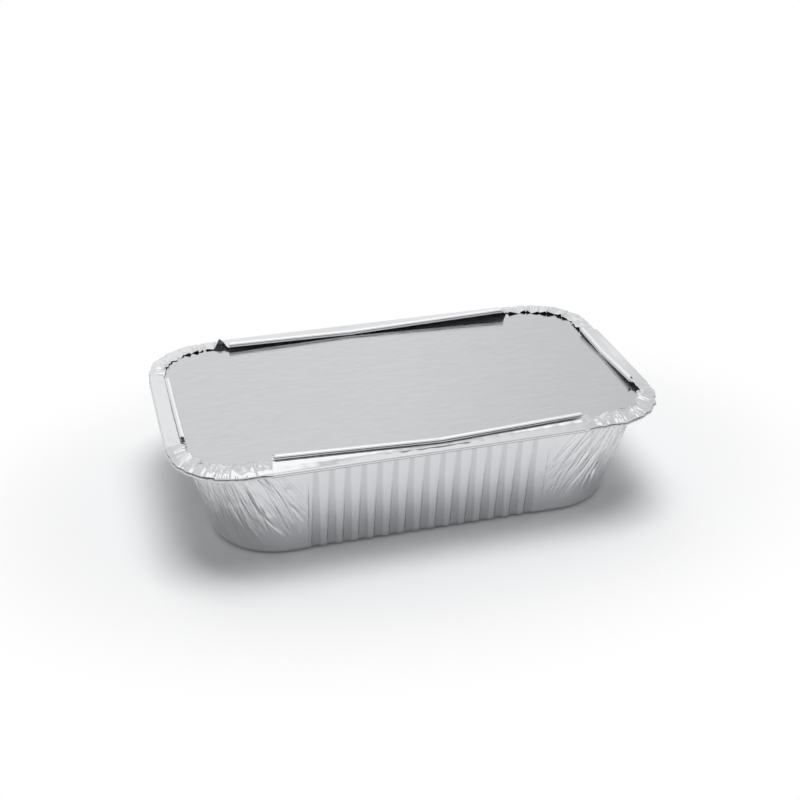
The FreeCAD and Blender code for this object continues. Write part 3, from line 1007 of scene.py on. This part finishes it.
def stage_world():
    """White surroundings for the camera and reflections, softer as a light.

    In reflections they are darker near the horizon on the camera's side, to both sides and
    up at the ceiling, where one bright softbox stands out.
    """
    world = bpy.data.worlds.new("Studio")
    bpy.context.scene.world = world
    world.use_nodes = True
    tree = world.node_tree
    direction = add_node(tree, "TexCoord").outputs["Generated"]
    height = add_node(tree, "SeparateXYZ", {0: direction}).outputs[2]
    right, back = math.cos(math.radians(CAMERA_YAW)), math.sin(math.radians(CAMERA_YAW))

    def toward(*aim):
        return vector_math(tree, "DOT_PRODUCT", direction, aim, "Value")

    near, far = (math.cos(math.radians(angle)) for angle in BAND_REACH)
    low, high = (math.sin(math.radians(angle)) for angle in BAND_HEIGHT)
    band_dark = add_math(
        tree, "MULTIPLY", ramp(tree, toward(-back, -right, 0.0), far, near, 0.0, BAND_DARK),
        ramp(tree, height, low, high, 1.0, 0.0))
    sideways = toward(right, -back, 0.0)
    darker = largest(
        tree, band_dark,
        ramp(tree, height, *CEILING_REACH, 0.0, CEILING_DARK),
        ramp(tree, sideways, *RIGHT_REACH, 0.0, RIGHT_DARK, "LINEAR"),
        ramp(tree, add_math(tree, "ABSOLUTE", sideways), *SIDES_REACH, 0.0, SIDES_DARK))

    rise = math.radians(SOFTBOX_HEIGHT)
    aim = (back * math.cos(rise), right * math.cos(rise), math.sin(rise))
    full, edge = (math.cos(math.radians(angle)) for angle in SOFTBOX_REACH)
    softbox = ramp(tree, toward(*aim), edge, full, 0.0, SOFTBOX_LIGHT)
    reflected = seen_rays(tree, "Glossy")
    dimmed = add_math(tree, "MULTIPLY", darker, reflected)
    shine = add_math(tree, "MULTIPLY", softbox, reflected)
    level = add_math(tree, "ADD", add_math(tree, "SUBTRACT", 1.0, dimmed), shine)
    seen = seen_rays(tree, "Camera", "Glossy", "Transmission")
    strength = add_math(tree, "MULTIPLY", level, seen)
    light = add_math(tree, "MULTIPLY", add_math(tree, "SUBTRACT", 1.0, seen), WORLD_LIGHT)
    feed(tree, tree.nodes["Background"],
         {"Color": WHITE, "Strength": add_math(tree, "ADD", strength, light)})


def stage_floor(colour):
    """Table that keeps the object's shadow and fades to an even white away from it.

    The white is there for the camera and in reflections only.
    """
    corners = TABLE_REACH * np.array([[(-1, -1, 0), (1, -1, 0)], [(-1, 1, 0), (1, 1, 0)]])
    floor = add_object("table", grid_mesh("table", corners))
    material = bpy.data.materials.new("Table")
    material.use_nodes = True
    tree = material.node_tree
    place = vector_math(tree, "MULTIPLY", object_place(tree), (TABLE_STRETCH, 1.0, 1.0))
    distance = vector_math(tree, "LENGTH", place, (0.0, 0.0, 0.0), "Value")
    white = add_math(
        tree, "MULTIPLY", ramp(tree, distance, *TABLE_FADE), seen_rays(tree, "Camera", "Glossy"))
    feed(tree, tree.nodes["Principled BSDF"], {
        "Roughness": 0.9,
        "Specular IOR Level": 0.0,
        "Emission Color": WHITE,
        "Emission Strength": white,
        "Base Color": mix_colour(tree, white, colour, BLACK)})
    floor.data.materials.append(material)


def stage_lamp(name, place, size, power):
    """Square soft lamp aimed at the container."""
    lamp = bpy.data.lights.new(name, "AREA")
    lamp.shape = "SQUARE"
    lamp.size = size
    lamp.energy = power
    holder = add_object(name, lamp)
    holder.location = place
    holder.rotation_euler = (-Vector(place)).to_track_quat("-Z", "Y").to_euler()
    holder.visible_glossy = False


def stage_camera():
    """Camera at the photograph's place, with its angles and focal length."""
    lens = bpy.data.cameras.new("camera")
    lens.sensor_width = SENSOR
    lens.lens = PHOTO_FOCUS / PHOTO_SIZE * SENSOR
    lens.clip_start = 0.01
    camera = add_object("camera", lens)
    turn = (
        Matrix.Rotation(math.radians(-CAMERA_YAW), 4, "Z")
        @ Matrix.Rotation(math.radians(90 - CAMERA_PITCH), 4, "X")
        @ Matrix.Rotation(math.radians(CAMERA_ROLL), 4, "Z")
    )
    camera.matrix_world = Matrix.Translation(Vector(CAMERA_PLACE) * MM) @ turn
    bpy.context.scene.camera = camera


# Operators

class CONTAINER_OT_walls(bpy.types.Operator):
    """Make the base and the fluted, creased walls"""

    bl_idname = "container.walls"
    bl_label = "Walls and base"

    def execute(self, context):
        points, masks = wall_surface(context.scene.tray_sizes)
        mesh = grid_mesh("tray_walls", points, wrap=True, pole=True, masks=masks)
        # The drawn foil gets painted shade in the flutes: its colour times 0.86 there.
        foil = foil_material(
            "Drawn foil", context.scene.finishes.foil_colour[:], shade=0.86,
            gloss=(0.12, 0.26), depth=1.0, effect="Drawn wrinkles", Across=620.0, Along=45.0)
        add_piece("tray_walls", mesh, foil)
        return {"FINISHED"}


class CONTAINER_OT_rim(bpy.types.Operator):
    """Make the ledge, the fold over the lid and the crushed corners"""

    bl_idname = "container.rim"
    bl_label = "Folded rim"

    def execute(self, context):
        points, masks = rim_surface(context.scene.tray_sizes, context.scene.rim_sizes)
        mesh = grid_mesh("folded_rim", points, wrap=True, masks=masks)
        colour = context.scene.finishes.foil_colour[:]
        # The crushed foil gets painted shade along the fold lines: its colour times 0.12 there.
        foil = foil_material(
            "Crushed foil", colour, shade=0.12, gloss=(0.08, 0.16), **HANDLED)
        thicken(add_piece("folded_rim", mesh, foil), inside_material(colour))
        return {"FINISHED"}


class CONTAINER_OT_beads(bpy.types.Operator):
    """Make the curled bead on each straight flap"""

    bl_idname = "container.beads"
    bl_label = "Curled beads"

    def execute(self, context):
        # The curled foil gets painted shade along the bead's crease: its colour times 0.08 there.
        foil = foil_material(
            "Curled foil", context.scene.finishes.bead_colour[:], shade=0.08,
            gloss=(0.03, 0.07), **HANDLED)
        for side, name in enumerate(("bead_front", "bead_right", "bead_back", "bead_left")):
            points, masks = bead_surface(context.scene.rim_sizes, side)
            thicken(add_piece(name, grid_mesh(name, points, masks=masks), foil))
        return {"FINISHED"}


class CONTAINER_OT_lid(bpy.types.Operator):
    """Give the board lid its satin metal face"""

    bl_idname = "container.lid"
    bl_label = "Board lid"

    def execute(self, context):
        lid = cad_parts.get("board_lid")
        if lid is None:
            raise RuntimeError("The frame has no board lid")
        lid.data.materials.clear()
        lid.data.materials.append(lid_material(context.scene.finishes.lid_colour[:]))
        return {"FINISHED"}


class CONTAINER_OT_stage(bpy.types.Operator):
    """Set the white table, the soft lamps and the camera"""

    bl_idname = "container.stage"
    bl_label = "Stage"

    def execute(self, context):
        stage_world()
        stage_floor(context.scene.finishes.floor_colour[:])
        for lamp in LAMPS:
            stage_lamp(*lamp)
        stage_camera()
        context.scene.view_settings.view_transform = "Standard"
        return {"FINISHED"}


class CONTAINER_PT_panel(bpy.types.Panel):
    """Sidebar list of the container's pieces and sizes"""

    bl_idname = "CONTAINER_PT_panel"
    bl_label = "Foil container"
    bl_space_type = "VIEW_3D"
    bl_region_type = "UI"
    bl_category = "Foil container"

    def draw(self, context):
        for settings in (context.scene.tray_sizes, context.scene.rim_sizes,
                         context.scene.finishes):
            box = self.layout.box()
            for key in settings.bl_rna.properties.keys():
                if key not in {"rna_type", "name"}:
                    box.prop(settings, key)
        for operator in OPERATORS:
            self.layout.operator(operator.bl_idname)


OPERATORS = (
    CONTAINER_OT_walls,
    CONTAINER_OT_rim,
    CONTAINER_OT_beads,
    CONTAINER_OT_lid,
    CONTAINER_OT_stage,
)
CLASSES = (TraySizes, RimSizes, Finishes, *OPERATORS, CONTAINER_PT_panel)


def register():
    for cls in CLASSES:
        bpy.utils.register_class(cls)
    bpy.types.Scene.tray_sizes = bpy.props.PointerProperty(type=TraySizes)
    bpy.types.Scene.rim_sizes = bpy.props.PointerProperty(type=RimSizes)
    bpy.types.Scene.finishes = bpy.props.PointerProperty(type=Finishes)


def unregister():
    del bpy.types.Scene.finishes
    del bpy.types.Scene.rim_sizes
    del bpy.types.Scene.tray_sizes
    for cls in reversed(CLASSES):
        bpy.utils.unregister_class(cls)


def main():
    register()
    bpy.ops.container.walls()
    bpy.ops.container.rim()
    bpy.ops.container.beads()
    bpy.ops.container.lid()
    bpy.ops.container.stage()


if __name__ == "__main__":
    main()
